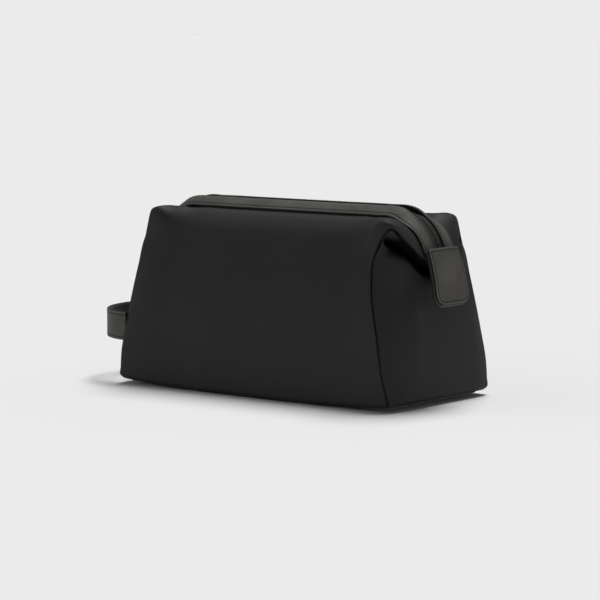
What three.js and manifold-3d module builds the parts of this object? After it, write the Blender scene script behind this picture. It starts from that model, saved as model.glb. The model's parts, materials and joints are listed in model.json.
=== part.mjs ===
// Soft wash bag with a zip along its top, drooping zip ends with leather tabs, and a carry loop.
// Units are millimetres, +Z up. X runs along the zip, the front faces -Y, and the origin is the
// centre of the base on the surface that the bag stands on.
import * as THREE from 'three';
import { mergeVertices } from 'three/addons/utils/BufferGeometryUtils.js';
import Module from 'manifold-3d';

// ---- driving dimensions ----
const BASE_X = 129.5;            // half length of the body at the base
const BASE_Y = 64;               // half depth of the body at the base
const WALL_FOOT_Z = 2.2;         // lower edge of the walls, just above the base panel
const HINGE_Y = 46.5;            // fold line where the wall turns into the roof
const HINGE_Z = 111;
const FLAP_X = 82;               // half length of the part of the mouth that opens
const TRIM_EDGE_Y = 17;          // outer edge of the leather trim beside the zip
const TRIM_EDGE_Z = 136.5;
const CREST_Z = 143.5;           // top of the trim, the highest line of the closed bag
const ZIP_GAP_Y = 4.6;           // inner edge of the trim, half the width of the visible zip
const TAPE_EDGE_Y = 1.05;        // the two tapes stop here, so that the slider's post passes
const TAPE_DEPTH = 3.4;          // how far the zip lies below the crest
const SEAM_GAP = 0.3;            // clearance between neighbouring pieces
const SKIN = 1.5;                // coated fabric of the body
const LINING = 0.8;
const LINING_AWAY = 1.2;        // the lining hangs this far inside the coated fabric
const TRIM_THICK = 1.4;
const TAPE_THICK = 0.6;
const COIL_HIGH = 1.4;
const TAB_WIDE = 36;
const TAB_LONG = 42;
const TAB_THICK = 1.5;
const STRAP_WIDE = 22;           // carry loop
const STRAP_THICK = 1.4;
const LOOP_X = 125;              // centre of the loop's half ellipse
const LOOP_REACH = 52;
const LOOP_HALF = 58;
const LOOP_Z = 44;
const LOOP_PIVOT_X = 130;        // the loop swings here, at its sewn ends
const SLIDER_X = -90;            // the slider when the zip is closed

// ---- finishes ----
const finish = {
  skin: { color: 0x2a2c2b, roughness: 0.62, metalness: 0 },
  leather: { color: 0x4b4a44, roughness: 0.78, metalness: 0 },
  tape: { color: 0x1f2021, roughness: 0.9, metalness: 0 },
  coil: { color: 0x151516, roughness: 0.5, metalness: 0 },
  metal: { color: 0x2f3032, roughness: 0.32, metalness: 0.9 },
  lining: { color: 0x33363a, roughness: 0.85, metalness: 0 },
  board: { color: 0x8c8478, roughness: 0.9, metalness: 0 },
};

const bag = new THREE.Group();
bag.name = 'wash_bag';

function addMesh(name, geometry, finishName) {
  const mesh = new THREE.Mesh(geometry, new THREE.MeshStandardMaterial(finish[finishName]));
  mesh.name = name;
  bag.add(mesh);
  return mesh;
}

// ---- curves and surfaces ----

// Point at t (0 to 1) on a uniform Catmull-Rom curve through the points.
function curveAt(points, t) {
  const spans = points.length - 1;
  const at = Math.min(Math.max(t, 0), 1) * spans;
  const i = Math.min(Math.floor(at), spans - 1);
  const p1 = points[i];
  const p2 = points[i + 1];
  const p0 = i > 0 ? points[i - 1] : p1.map((c, k) => 2 * c - p2[k]);
  const p3 = i + 2 <= spans ? points[i + 2] : p2.map((c, k) => 2 * c - p1[k]);
  const f = at - i;
  return p1.map((c, k) => c + 0.5 * f * (p2[k] - p0[k]
    + f * (2 * p0[k] - 5 * c + 4 * p2[k] - p3[k]
    + f * (3 * (c - p2[k]) + p3[k] - p0[k]))));
}

// A surface through a net of columns of points; u runs across the columns, v along each one.
function netSurface(columns) {
  return (u, v) => new THREE.Vector3(...curveAt(columns.map((column) => curveAt(column, v)), u));
}

function mirrored(surface, axis) {
  return (u, v) => {
    const point = surface(u, v);
    point[axis] = -point[axis];
    return point;
  };
}

// Unit normal of a surface, turned to point away from the given inner point.
function outwardNormals(surface, inner) {
  const step = 1e-3;
  const raw = (u, v) => {
    const u0 = Math.max(u - step, 0);
    const v0 = Math.max(v - step, 0);
    const alongU = surface(Math.min(u + step, 1), v).sub(surface(u0, v));
    const alongV = surface(u, Math.min(v + step, 1)).sub(surface(u, v0));
    return alongU.cross(alongV).normalize();
  };
  const sign = Math.sign(raw(0.5, 0.5).dot(surface(0.5, 0.5).sub(inner)));
  return (u, v) => raw(u, v).multiplyScalar(sign);
}

// Closed solid between two offsets of a surface, over a rectangle of its u and v.
function sheetSolid(surface, { u = [0, 1], v = [0, 1], cells, outer, inner, inside }) {
  const [cellsU, cellsV] = cells;
  const normal = outwardNormals(surface, inside);
  const positions = [];
  for (const offset of [outer, inner]) {
    for (let i = 0; i <= cellsU; i += 1) {
      for (let j = 0; j <= cellsV; j += 1) {
        const a = u[0] + (u[1] - u[0]) * i / cellsU;
        const b = v[0] + (v[1] - v[0]) * j / cellsV;
        positions.push(...surface(a, b).addScaledVector(normal(a, b), offset));
      }
    }
  }
  const layer = (cellsU + 1) * (cellsV + 1);
  const at = (k, i, j) => k * layer + i * (cellsV + 1) + j;
  const quads = [];
  for (let i = 0; i < cellsU; i += 1) {
    for (let j = 0; j < cellsV; j += 1) {
      quads.push([at(0, i, j), at(0, i + 1, j), at(0, i + 1, j + 1), at(0, i, j + 1)]);
      quads.push([at(1, i, j), at(1, i, j + 1), at(1, i + 1, j + 1), at(1, i + 1, j)]);
    }
  }
  for (let i = 0; i < cellsU; i += 1) {
    quads.push([at(0, i, 0), at(1, i, 0), at(1, i + 1, 0), at(0, i + 1, 0)]);
    quads.push([at(0, i + 1, cellsV), at(1, i + 1, cellsV), at(1, i, cellsV), at(0, i, cellsV)]);
  }
  for (let j = 0; j < cellsV; j += 1) {
    quads.push([at(0, 0, j + 1), at(1, 0, j + 1), at(1, 0, j), at(0, 0, j)]);
    quads.push([at(0, cellsU, j), at(1, cellsU, j), at(1, cellsU, j + 1), at(0, cellsU, j + 1)]);
  }
  return facingOut(positions, quads.flatMap(([a, b, c, d]) => [a, b, c, a, c, d]));
}

// Geometry from positions and triangles, with the triangles turned round if its volume is negative.
function facingOut(positions, triangles) {
  const corner = (k) => new THREE.Vector3().fromArray(positions, 3 * triangles[k]);
  let volume = 0;
  for (let k = 0; k < triangles.length; k += 3) {
    volume += corner(k).dot(corner(k + 1).cross(corner(k + 2)));
  }
  const geometry = new THREE.BufferGeometry();
  geometry.setAttribute('position', new THREE.Float32BufferAttribute(positions, 3));
  geometry.setIndex(volume > 0 ? triangles : [...triangles].reverse());
  geometry.computeVertexNormals();
  return geometry;
}

// ---- the front of the body, from the base to the trim ----
// Each column runs up the wall, over the shoulder and along the roof to the edge of the trim.
const middleColumn = (x) => [
  [1.13 * x, -BASE_Y, WALL_FOOT_Z],
  [1.09 * x, -62, 45],
  [1.03 * x, -53.5, 88],
  [x, -HINGE_Y, HINGE_Z],
  [x, -38, 126],
  [x, -27.5, 133],
  [x, -TRIM_EDGE_Y, TRIM_EDGE_Z],
];
// Towards each end the roof turns down into the drooping zip end, and the wall ends at its seam.
// At the front right the seam bows inwards; at the other three corners it follows the corner.
const bowedEnd = [
  [[112, -BASE_Y, WALL_FOOT_Z], [105, -62, 46], [95, -54, 89], [94, -47, HINGE_Z],
    [97, -40.5, 129.5], [99.5, -29, 134], [100, -TRIM_EDGE_Y, 135]],
  [[122, -BASE_Y, WALL_FOOT_Z], [112, -62, 48], [101, -54, 90], [100, -47.3, HINGE_Z],
    [108, -42.5, 135], [113.5, -29.5, 130.5], [115.5, -TRIM_EDGE_Y, 128.5]],
  [[127, -BASE_Y, WALL_FOOT_Z], [116.5, -62, 49], [105, -53.8, 91], [103, -47.4, HINGE_Z],
    [112.5, -43, 134], [122, -30, 121], [125.5, -TRIM_EDGE_Y, 116]],
  [[BASE_X, -63.5, WALL_FOOT_Z], [118.5, -62, 49], [106.5, -53.5, 91], [105, -47.5, HINGE_Z],
    [116, -41, 129.5], [126, -30, 114], [130.5, -18, 101]],
];
const straightEnd = [
  [[112, -BASE_Y, WALL_FOOT_Z], [108, -61.8, 48], [101, -53.8, 89], [98, -46.8, HINGE_Z],
    [97, -40.5, 129.5], [99.5, -29, 134], [100, -TRIM_EDGE_Y, 135]],
  [[122, -BASE_Y, WALL_FOOT_Z], [117.5, -61.2, 48], [112, -52.6, 90], [108.5, -46.4, HINGE_Z],
    [108, -42.5, 135], [113.5, -29.5, 130.5], [115.5, -TRIM_EDGE_Y, 128.5]],
  [[127, -63.5, WALL_FOOT_Z], [122.6, -60.2, 49], [117.8, -51.4, 90], [114.5, -45.9, HINGE_Z],
    [112.5, -43, 134], [122, -30, 121], [125.5, -TRIM_EDGE_Y, 116]],
  [[BASE_X, -62.5, WALL_FOOT_Z], [125.6, -58.8, 49], [121.5, -50.4, 90], [118.8, -45.6, HINGE_Z],
    [116, -41, 129.5], [126, -30, 114], [130.5, -18, 101]],
];
const HALF_COLUMNS = 3 + straightEnd.length;

function bodySurface(leftEnd, rightEnd) {
  const inner = [30, 58, FLAP_X].map(middleColumn);
  const left = [...inner, ...leftEnd].reverse()
    .map((column) => column.map(([x, y, z]) => [-x, y, z]));
  return netSurface([...left, middleColumn(0), ...inner, ...rightEnd]);
}

const frontSurface = bodySurface(straightEnd, bowedEnd);
const backSurface = mirrored(bodySurface(straightEnd, straightEnd), 'y');
const HINGE_V = 0.5;
const flapEdge = 3 / HALF_COLUMNS;                // the flap's last column, from the middle
const FLAP_U = [0.5 - flapEdge / 2, 0.5 + flapEdge / 2];
const CUT_U = 0.0012;                              // clearances, as fractions of the surface
const CUT_V = 0.0025;
const BODY_CENTRE = new THREE.Vector3(0, 0, 60);

// ---- the end panels, between two corner seams and under the zip end ----
// Columns from the front seam to the middle; each one ends at the seam under the zip end.
const bowedSeam = [[BASE_X, -63.5, WALL_FOOT_Z], [118.5, -62, 49], [106.5, -53.5, 91],
  [105, -47.5, HINGE_Z], [112.5, -42, 124], [116, -41, 129.5]];
const straightSeam = [[BASE_X, -62.5, WALL_FOOT_Z], [125.6, -58.8, 49], [121.5, -50.4, 90],
  [118.8, -45.6, HINGE_Z], [117.2, -42.3, 124], [116, -41, 129.5]];
const endColumns = [
  [[131, -50, WALL_FOOT_Z], [127.5, -48.5, 49], [119.5, -42, 89], [114, -37, 106],
    [114.7, -34.6, 115], [120.5, -36, 122]],
  [[131, -32, WALL_FOOT_Z], [128.5, -31, 49], [120.5, -26.5, 84], [114.3, -23.5, 97.5],
    [118, -24, 105], [126, -29, 113.5]],
  [[131, -14, WALL_FOOT_Z], [128.5, -14, 46], [120.5, -11.5, 80], [113.2, -10, 92.5],
    [118.7, -12, 98.5], [130, -17.5, 101]],
];
const endMiddle = [[131, 0, WALL_FOOT_Z], [128.5, 0, 45], [120.5, 0, 78], [112.7, 0, 91],
  [118.7, 0, 95], [131, 0, 98]];

function endSurface(frontSeam, backSeam) {
  const back = [backSeam, ...endColumns].reverse()
    .map((column) => column.map(([x, y, z]) => [x, -y, z]));
  return netSurface([frontSeam, ...endColumns, endMiddle, ...back]);
}

// ---- the strip along the top: trim, tape and coil follow one path and one cross-section ----
const ridgeHalf = [[0, CREST_Z], [40, CREST_Z], [FLAP_X, CREST_Z], [98, 142.2], [109, 138],
  [118, 130.5], [125, 120.5], [129.5, 110], [132, 101]];
const ridgePath = [...ridgeHalf.slice(1).reverse().map(([x, z]) => [-x, z]), ...ridgeHalf];
const ridgeEnd = 2 / (ridgeHalf.length - 1);       // where the straight run ends, from the middle
const RIDGE_FLAP = [0.5 - ridgeEnd / 2, 0.5 + ridgeEnd / 2];
const CUT_S = 0.0012;
const crossSection = [[0, -0.5], [ZIP_GAP_Y, -0.3], [7, -0.2], [11.5, -2.6], [TRIM_EDGE_Y, -7]];

// Surface of the strip for the front half; v runs from the zip's middle to the trim's outer edge.
function stripSurface(u, v) {
  const [x, z] = curveAt(ridgePath, u);
  const [aheadX, aheadZ] = curveAt(ridgePath, Math.min(u + 1e-3, 1));
  const [behindX, behindZ] = curveAt(ridgePath, Math.max(u - 1e-3, 0));
  const along = new THREE.Vector2(aheadX - behindX, aheadZ - behindZ).normalize();
  const [y, drop] = curveAt(crossSection, v);
  const toTip = THREE.MathUtils.smoothstep(Math.abs(x), FLAP_X + 10, 128);
  const lift = drop * (1 - 0.65 * toTip);
  return new THREE.Vector3(x - along.y * lift, -y, z + along.x * lift);
}
const sectionAt = (y) => {
  let low = 0;
  let high = 1;
  for (let k = 0; k < 40; k += 1) {
    const mid = (low + high) / 2;
    if (curveAt(crossSection, mid)[0] < y) low = mid;
    else high = mid;
  }
  return low;
};

const sides = [
  { word: 'front', surface: frontSurface, strip: stripSurface },
  { word: 'back', surface: backSurface, strip: mirrored(stripSurface, 'y') },
];
const ends = [
  { word: 'left', sign: -1, panel: mirrored(endSurface(straightSeam, straightSeam), 'x'),
    u: [CUT_U, FLAP_U[0] - CUT_U],
    s: [0.001, RIDGE_FLAP[0] - CUT_S], tape: [0.02, RIDGE_FLAP[0] - CUT_S] },
  { word: 'right', sign: 1, panel: endSurface(bowedSeam, straightSeam),
    u: [FLAP_U[1] + CUT_U, 1 - CUT_U],
    s: [RIDGE_FLAP[1] + CUT_S, 0.999], tape: [RIDGE_FLAP[1] + CUT_S, 0.98] },
];

const trimV = [sectionAt(ZIP_GAP_Y), sectionAt(TRIM_EDGE_Y - SEAM_GAP)];
const tapeV = [sectionAt(TAPE_EDGE_Y), sectionAt(12)];
const coilV = [sectionAt(TAPE_EDGE_Y), sectionAt(3.4)];
const tapeOuter = -TAPE_DEPTH;
const tapeInner = tapeOuter - TAPE_THICK;
const coilOuter = tapeInner - SEAM_GAP;
const coilInner = coilOuter - COIL_HIGH;

for (const { word, surface, strip } of sides) {
  const wall = { v: [0, HINGE_V - CUT_V], inside: BODY_CENTRE };
  addMesh(`${word}_panel`, sheetSolid(surface, {
    ...wall, u: [CUT_U, 1 - CUT_U], cells: [28, 7], outer: 0, inner: -SKIN,
  }), 'skin');
  addMesh(`${word}_lining`, sheetSolid(surface, {
    ...wall, u: [0.075, 0.925], v: [0.03, HINGE_V - 0.015], cells: [22, 5],
    outer: -SKIN - LINING_AWAY, inner: -SKIN - LINING_AWAY - LINING,
  }), 'lining');
  const roof = {
    u: [FLAP_U[0] + CUT_U, FLAP_U[1] - CUT_U], v: [HINGE_V + CUT_V, 1 - CUT_V], inside: BODY_CENTRE,
  };
  addMesh(`${word}_roof_flap`, sheetSolid(surface, {
    ...roof, cells: [6, 8], outer: 0, inner: -SKIN,
  }), 'skin');
  addMesh(`${word}_roof_lining`, sheetSolid(surface, {
    ...roof, v: [HINGE_V + 0.02, 0.9], cells: [6, 6],
    outer: -SKIN - LINING_AWAY, inner: -SKIN - LINING_AWAY - LINING,
  }), 'lining');
  const run = { u: [RIDGE_FLAP[0] + CUT_S, RIDGE_FLAP[1] - CUT_S], inside: BODY_CENTRE };
  addMesh(`${word}_trim`, sheetSolid(strip, {
    ...run, v: trimV, cells: [4, 4], outer: 0, inner: -TRIM_THICK,
  }), 'leather');
  addMesh(`${word}_zip_tape`, sheetSolid(strip, {
    ...run, v: tapeV, cells: [4, 4], outer: tapeOuter, inner: tapeInner,
  }), 'tape');
  addMesh(`${word}_zip_coil`, sheetSolid(strip, {
    ...run, v: coilV, cells: [4, 1], outer: coilOuter, inner: coilInner,
  }), 'coil');
  for (const end of ends) {
    addMesh(`${word}_${end.word}_zip_end_panel`, sheetSolid(surface, {
      u: end.u, v: [HINGE_V + CUT_V, 1 - CUT_V], cells: [14, 7], outer: 0, inner: -SKIN,
      inside: BODY_CENTRE,
    }), 'skin');
    addMesh(`${word}_${end.word}_trim_end`, sheetSolid(strip, {
      u: end.s, v: trimV, cells: [12, 3], outer: 0, inner: -TRIM_THICK, inside: BODY_CENTRE,
    }), 'leather');
    addMesh(`${word}_${end.word}_tape_end`, sheetSolid(strip, {
      u: end.tape, v: tapeV, cells: [12, 3], outer: tapeOuter, inner: tapeInner, inside: BODY_CENTRE,
    }), 'tape');
  }
}

for (const { word, panel } of ends) {
  addMesh(`${word}_end_panel`, sheetSolid(panel, {
    u: [0.035, 0.965], v: [0, 0.955], cells: [18, 14], outer: 0, inner: -SKIN, inside: BODY_CENTRE,
  }), 'skin');
  addMesh(`${word}_end_lining`, sheetSolid(panel, {
    u: [0.12, 0.88], v: [0.04, 0.54], cells: [12, 6],
    outer: -SKIN - LINING_AWAY, inner: -SKIN - LINING_AWAY - LINING, inside: BODY_CENTRE,
  }), 'lining');
}

// ---- base: outer panel, stiffening board and lining, stacked ----
function roundedPlate(halfX, halfY, radius, thick) {
  const shape = new THREE.Shape();
  shape.moveTo(halfX, -halfY + radius);
  shape.absarc(halfX - radius, halfY - radius, radius, 0, Math.PI / 2, false);
  shape.absarc(radius - halfX, halfY - radius, radius, Math.PI / 2, Math.PI, false);
  shape.absarc(radius - halfX, radius - halfY, radius, Math.PI, 1.5 * Math.PI, false);
  shape.absarc(halfX - radius, radius - halfY, radius, 1.5 * Math.PI, 2 * Math.PI, false);
  return new THREE.ExtrudeGeometry(shape, { depth: thick, bevelEnabled: false, curveSegments: 6 });
}
const BASE_THICK = 1.9;
const BOARD_THICK = 2;
const basePlates = [
  { name: 'base_panel', grow: -1, thick: BASE_THICK, z: 0, look: 'skin' },
  { name: 'base_board', grow: -5, thick: BOARD_THICK, z: BASE_THICK + SEAM_GAP, look: 'board' },
  { name: 'base_lining', grow: -6, thick: LINING, z: BASE_THICK + BOARD_THICK + 2 * SEAM_GAP,
    look: 'lining' },
];
for (const { name, grow, thick, z, look } of basePlates) {
  addMesh(name, roundedPlate(BASE_X + grow, BASE_Y + grow, 9, thick), look).position.z = z;
}

// ---- leather tabs over the two zip ends ----
const TAB_LEAN = THREE.MathUtils.degToRad(19.3);
const TAB_TOP = { x: 133, z: 114.5 };
function tabPlate(wide, long, radius, thick) {
  const half = wide / 2;
  const shape = new THREE.Shape();
  shape.moveTo(-half, 0);
  shape.lineTo(-half, -long + radius);
  shape.absarc(radius - half, radius - long, radius, Math.PI, 1.5 * Math.PI, false);
  shape.absarc(half - radius, radius - long, radius, 1.5 * Math.PI, 2 * Math.PI, false);
  shape.lineTo(half, 0);
  return new THREE.ExtrudeGeometry(shape, { depth: thick, bevelEnabled: false, curveSegments: 5 });
}
for (const { word, sign } of ends) {
  const tab = new THREE.Group();
  tab.position.set(sign * TAB_TOP.x, 0, TAB_TOP.z);
  tab.rotation.set(0, -sign * TAB_LEAN, 0);
  const turned = new THREE.Group();
  turned.rotation.set(Math.PI / 2, sign * Math.PI / 2, 0);
  tab.add(turned);
  bag.add(tab);
  const outer = addMesh(`${word}_tab_outer`, tabPlate(TAB_WIDE, TAB_LONG, 5, TAB_THICK), 'leather');
  const UNDER_START = 17;        // the under layer starts below the end of the zip
  const under = addMesh(`${word}_tab_under`,
    tabPlate(TAB_WIDE - 1, TAB_LONG - UNDER_START - 0.5, 4.5, TAB_THICK), 'leather');
  under.position.set(0, -UNDER_START, -TAB_THICK - SEAM_GAP);
  turned.add(outer, under);
}

// ---- carry loop: two layers of strap in a half ellipse, sewn into the left corner seams ----
// The ends narrow to a point at the sewn seam, where the strap bends.
function loopPoint(angle, shrink) {
  const x = -LOOP_X - (LOOP_REACH - shrink) * Math.cos(angle);
  return [x, (LOOP_HALF - shrink) * Math.sin(angle)];
}
function strapSolid(outerShrink, innerShrink, steps) {
  const startAngle = Math.acos((LOOP_PIVOT_X + 1 - LOOP_X) / (LOOP_REACH - innerShrink));
  const positions = [];
  for (let i = 0; i <= steps; i += 1) {
    const angle = -startAngle + 2 * startAngle * i / steps;
    for (const [shrink, side] of [[outerShrink, -1], [outerShrink, 1], [innerShrink, 1],
      [innerShrink, -1]]) {
      const [x, y] = loopPoint(angle, shrink);
      const half = Math.min(STRAP_WIDE / 2, 0.9 + 0.8 * (-x - LOOP_PIVOT_X));
      positions.push(x, y, LOOP_Z + side * half);
    }
  }
  const triangles = [0, 1, 2, 0, 2, 3];
  for (let i = 0; i < steps; i += 1) {
    for (let k = 0; k < 4; k += 1) {
      const a = 4 * i + k;
      const b = 4 * i + (k + 1) % 4;
      triangles.push(a, a + 4, b + 4, a, b + 4, b);
    }
  }
  const last = 4 * steps;
  triangles.push(last, last + 2, last + 1, last, last + 3, last + 2);
  return facingOut(positions, triangles);
}
addMesh('loop_outer_strap', strapSolid(0, STRAP_THICK, 30), 'leather');
addMesh('loop_inner_strap', strapSolid(STRAP_THICK + SEAM_GAP, 2 * STRAP_THICK + SEAM_GAP, 30),
  'leather');

// ---- zip slider, its puller, and the stops ----
const wasm = await Module();
wasm.setup();
function toSolid(geometry) {
  const bare = geometry.clone();
  bare.deleteAttribute('normal');
  bare.deleteAttribute('uv');
  const merged = mergeVertices(bare, 1e-4);
  return new wasm.Manifold(new wasm.Mesh({
    numProp: 3,
    vertProperties: new Float32Array(merged.attributes.position.array),
    triVerts: new Uint32Array(merged.index.array),
  }));
}
function toGeometry(solid) {
  const mesh = solid.getMesh();
  const geometry = new THREE.BufferGeometry();
  geometry.setAttribute('position', new THREE.BufferAttribute(mesh.vertProperties, 3));
  geometry.setIndex(new THREE.BufferAttribute(mesh.triVerts, 1));
  geometry.computeVertexNormals();
  return geometry;
}
function block(sizeX, sizeY, sizeZ, x, y, z) {
  return toSolid(new THREE.BoxGeometry(sizeX, sizeY, sizeZ).translate(x, y, z));
}

const tapeTop = CREST_Z - 0.5 - TAPE_DEPTH;
const coilFoot = CREST_Z - 0.5 + coilInner;
const PLATE = 1.1;
const plateZ = tapeTop + 0.5 + PLATE / 2;
const plateTop = plateZ + PLATE / 2;
const footZ = coilFoot - 0.5 - PLATE / 2;
const SLIDER_LONG = 13;
const ROD_Z = plateTop + 1.25;    // middle of the puller's rod, inside the bridge
const ROD_X = SLIDER_X;

let slider = block(SLIDER_LONG, 8.2, PLATE, SLIDER_X, 0, plateZ);
slider = slider.add(block(SLIDER_LONG, 8.8, PLATE, SLIDER_X, 0, footZ));
slider = slider.add(block(3, 1.3, plateZ - footZ, SLIDER_X - SLIDER_LONG / 2 + 2, 0,
  (plateZ + footZ) / 2));
for (const side of [-1, 1]) {
  slider = slider.add(block(1.2, 1.8, 2.6, SLIDER_X + side * 2.6, 0, plateTop + 0.9));
}
slider = slider.add(block(6.4, 1.8, 0.9, SLIDER_X, 0, plateTop + 2.6));
addMesh('zip_slider', toGeometry(slider), 'metal');

const PULLER_HALF = 2.3;
const PULLER_LONG = 9;
let puller = toSolid(new THREE.CylinderGeometry(0.5, 0.5, 2 * PULLER_HALF, 12)
  .translate(ROD_X, 0, ROD_Z));
for (const side of [-1, 1]) {
  puller = puller.add(block(PULLER_LONG, 0.9, 0.9, ROD_X + PULLER_LONG / 2 - 0.5,
    side * (PULLER_HALF - 0.45), ROD_Z));
}
puller = puller.add(block(1.2, 2 * PULLER_HALF, 0.9, ROD_X + PULLER_LONG - 1.1, 0, ROD_Z));
addMesh('zip_puller', toGeometry(puller), 'metal');

// The leather pull is folded through the puller's eye; its two layers show as one flat strip.
const pullBack = ROD_X + PULLER_LONG - 0.2;
addMesh('leather_pull', roundedPlate(9.5, 2.6, 1.2, 1.4), 'leather')
  .position.set(pullBack + 9.5, 0, ROD_Z - 0.5);

const STOP_X = 100.5;
const STOP_Z = 138.3;             // on the tape, where the strip has begun to slope down
const STOP_SLOPE = THREE.MathUtils.degToRad(19);
for (const { word, sign } of ends) {
  const stop = addMesh(`${word}_zip_stop`, toGeometry(block(2.2, 5, 0.8, 0, 0, 0)), 'metal');
  stop.position.set(sign * STOP_X, 0, STOP_Z);
  stop.rotation.y = sign * STOP_SLOPE;
}

export default bag;
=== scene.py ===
import math

import bpy
import numpy as np
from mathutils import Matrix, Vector
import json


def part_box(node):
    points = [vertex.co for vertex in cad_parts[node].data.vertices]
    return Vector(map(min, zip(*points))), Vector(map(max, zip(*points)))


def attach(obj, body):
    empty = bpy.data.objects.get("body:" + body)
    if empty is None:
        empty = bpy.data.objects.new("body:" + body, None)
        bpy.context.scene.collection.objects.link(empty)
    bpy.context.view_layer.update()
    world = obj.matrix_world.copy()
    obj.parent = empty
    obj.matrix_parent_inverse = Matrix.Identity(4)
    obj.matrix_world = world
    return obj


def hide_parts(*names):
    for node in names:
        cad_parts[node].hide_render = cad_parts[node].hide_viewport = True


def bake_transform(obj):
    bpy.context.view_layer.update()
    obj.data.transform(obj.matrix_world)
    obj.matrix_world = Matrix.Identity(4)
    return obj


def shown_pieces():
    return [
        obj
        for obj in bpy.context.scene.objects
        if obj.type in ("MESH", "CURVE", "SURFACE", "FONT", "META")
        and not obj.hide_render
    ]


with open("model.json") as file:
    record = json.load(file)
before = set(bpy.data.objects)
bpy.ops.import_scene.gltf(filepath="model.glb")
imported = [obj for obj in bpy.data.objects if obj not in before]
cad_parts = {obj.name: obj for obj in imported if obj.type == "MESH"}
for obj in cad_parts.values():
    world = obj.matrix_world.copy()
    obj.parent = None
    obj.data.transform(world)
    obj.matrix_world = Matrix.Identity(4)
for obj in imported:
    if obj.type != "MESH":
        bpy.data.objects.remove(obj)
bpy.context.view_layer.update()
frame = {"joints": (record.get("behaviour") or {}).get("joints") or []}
MM = 0.001

# ---- sizes, from the frame, in mm


def box_mm(node):
    low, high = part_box(node)
    return np.array(low) / MM, np.array(high) / MM


def pivot_mm(joint_name):
    return next(np.array(j["pos_m"]) / MM for j in frame["joints"] if j["name"] == joint_name)


HINGE_Y = -pivot_mm("front_flap_fold")[1]
HINGE_Z = pivot_mm("front_flap_fold")[2]
FLAP_X = box_mm("front_trim")[1][0] + 0.3
CREST_Z = box_mm("front_trim")[1][2]
BASE_Y = -box_mm("front_panel")[0][1]
BOARD_TOP = box_mm("base_board")[1][2]
strap_low, strap_high = box_mm("loop_outer_strap")
LOOP_TIP_X = strap_low[0]
LOOP_Z = pivot_mm("carry_loop_swing")[2]
STRAP_WIDE = strap_high[2] - strap_low[2]
slider_low, slider_high = box_mm("zip_slider")
SLIDER_X = (slider_low[0] + slider_high[0]) / 2
PULLER_Z = pivot_mm("puller_swing")[2]

TRIM_EDGE_Y = 17.0
ZIP_GAP_Y = 4.6
SKIN = 1.1                        # thickness of the coated cloth
LINING = 0.5                      # and of its lining
SEAM_INSET = 2.3                  # from a leather edge to its row of stitches
ROLL = 1.5                        # radius at which a panel's edge turns into its seam
ROLL_DEPTH = 2.2

# ---- curves and surfaces


def unit(vectors):
    return vectors / np.maximum(np.linalg.norm(vectors, axis=-1, keepdims=True), 1e-9)


def smooth_step(value, low, high):
    f = np.clip((value - low) / (high - low), 0, 1)
    return f * f * (3 - 2 * f)


def spline(knots, points, t):
    """Points at t on a cubic through points (first axis), one for each knot."""
    knots = np.asarray(knots, float)
    points = np.asarray(points, float)
    t = np.clip(np.asarray(t, float), knots[0], knots[-1])
    spread = (-1,) + (1,) * (points.ndim - 1)
    gap = np.diff(knots)
    slope = np.diff(points, axis=0) / gap.reshape(spread)
    tangent = np.empty_like(points)
    before = gap[:-1].reshape(spread)
    after = gap[1:].reshape(spread)
    tangent[1:-1] = (slope[:-1] * after + slope[1:] * before) / (before + after)
    tangent[0] = 1.5 * slope[0] - 0.5 * tangent[1]
    tangent[-1] = 1.5 * slope[-1] - 0.5 * tangent[-2]
    i = np.clip(np.searchsorted(knots, t, side="right") - 1, 0, len(knots) - 2)
    f = ((t - knots[i]) / gap[i]).reshape(spread)
    h = gap[i].reshape(spread)
    return (
        points[i] * (2 * f**3 - 3 * f**2 + 1)
        + tangent[i] * h * (f**3 - 2 * f**2 + f)
        + points[i + 1] * (3 * f**2 - 2 * f**3)
        + tangent[i + 1] * h * (f**3 - f**2)
    )


def net_knots(net):
    """Knots across the columns and along them, from the mean lengths between the net's points."""
    across = np.linalg.norm(np.diff(net, axis=0), axis=2).mean(axis=1)
    along = np.linalg.norm(np.diff(net, axis=1), axis=2).mean(axis=0)
    return np.append(0, np.cumsum(across)), np.append(0, np.cumsum(along))


def net_grid(net, u, v):
    """Grid of points at every u (across the columns) and v (along them), both in mm."""
    knots_u, knots_v = net_knots(net)
    columns = spline(knots_v, np.swapaxes(net, 0, 1), v)
    return spline(knots_u, np.swapaxes(columns, 0, 1), u)


def grid_normals(grid, sign):
    """Unit normals of a grid of points, from its neighbours."""
    return sign * unit(np.cross(np.gradient(grid, axis=0), np.gradient(grid, axis=1)))


def edge_distance(grid, axis, end):
    """Distance of each grid point from one end of the grid, measured along its own line."""
    steps = np.linalg.norm(np.diff(grid, axis=axis), axis=2)
    pad = [(1, 0), (0, 0)] if axis == 0 else [(0, 0), (1, 0)]
    travelled = np.cumsum(np.pad(steps, pad), axis=axis)
    return travelled if end == 0 else travelled.take([-1], axis=axis) - travelled


def turned_edge(distance):
    """How far the surface has sunk at this distance from a seam, as a quarter of an oval."""
    inside = np.clip(1 - distance / ROLL, 0, 1)
    return ROLL_DEPTH * (1 - np.sqrt(np.maximum(1 - inside**2, 0)))


BESIDE_SEAM = np.array([0.0, 0.25, 0.55, 0.9, 1.3, 1.8, 2.6, 4.0])


def dense_ends(high, count, far_end=True):
    """Even steps from 0 to high with extra ones beside the ends that have a seam."""
    marks = [np.linspace(0, high, count), BESIDE_SEAM]
    if far_end:
        marks.append(high - BESIDE_SEAM)
    return np.unique(np.round(np.concatenate(marks), 4))


# ---- meshes


def new_object(name, data):
    thing = bpy.data.objects.new(name, data)
    bpy.context.scene.collection.objects.link(thing)
    return thing


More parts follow.
